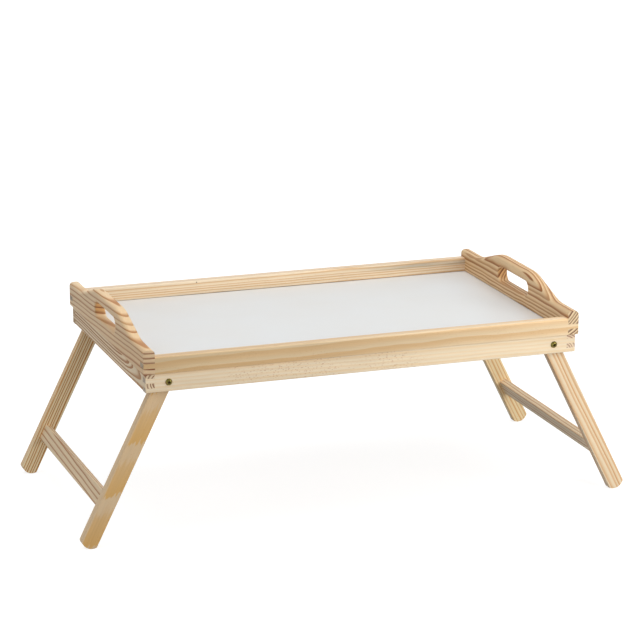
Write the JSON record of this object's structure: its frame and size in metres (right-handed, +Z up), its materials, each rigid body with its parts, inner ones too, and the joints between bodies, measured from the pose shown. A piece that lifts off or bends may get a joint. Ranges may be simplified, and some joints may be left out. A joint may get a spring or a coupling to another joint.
{
  "type": "folding bed tray table",
  "caption": "Wooden bed tray with shaped end boards, hand slots, a white inlaid panel and splayed leg frames that fold flat into a lower frame.",
  "frame": {"origin": "on the floor under the middle of the tray, legs open", "axes": "+X along the tray from the left end to the right end, +Y from front to back, +Z up"},
  "size_m": [0.7108, 0.35, 0.265],
  "materials": {
    "pine": "clear satin lacquer over planed pine",
    "white_board": "smooth white faced hardboard",
    "zinc_screw": "yellow zinc plated",
    "steel_washer": "zinc plated",
    "beech_dowel": "raw turned beech"
  },
  "bodies": {
    "tray": {"left_end_board": "pine", "right_end_board": "pine", "front_rail": "pine", "rear_rail": "pine", "tray_panel": "white_board", "lower_front_rail": "pine", "lower_rear_rail": "pine", "lower_left_end": "pine", "lower_right_end": "pine"},
    "left_leg_frame": {"left_front_leg": "pine", "left_rear_leg": "pine", "left_stretcher": "pine", "left_front_dowels": "beech_dowel", "left_rear_dowels": "beech_dowel", "front_left_pivot_screw": "zinc_screw", "rear_left_pivot_screw": "zinc_screw", "front_left_washer": "steel_washer", "rear_left_washer": "steel_washer"},
    "right_leg_frame": {"right_front_leg": "pine", "right_rear_leg": "pine", "right_stretcher": "pine", "right_front_dowels": "beech_dowel", "right_rear_dowels": "beech_dowel", "front_right_pivot_screw": "zinc_screw", "rear_right_pivot_screw": "zinc_screw", "front_right_washer": "steel_washer", "rear_right_washer": "steel_washer"}
  },
  "joints": [
    {"name": "left_leg_fold", "type": "hinge", "parent": "tray", "child": "left_leg_frame", "pos_m": [-0.2485, 0, 0.2025], "axis": [0, -1, 0], "range_deg": [0, 116.4]},
    {"name": "right_leg_fold", "type": "hinge", "parent": "tray", "child": "right_leg_frame", "pos_m": [0.2485, 0, 0.2025], "axis": [0, 1, 0], "range_deg": [0, 116.4]}
  ]
}
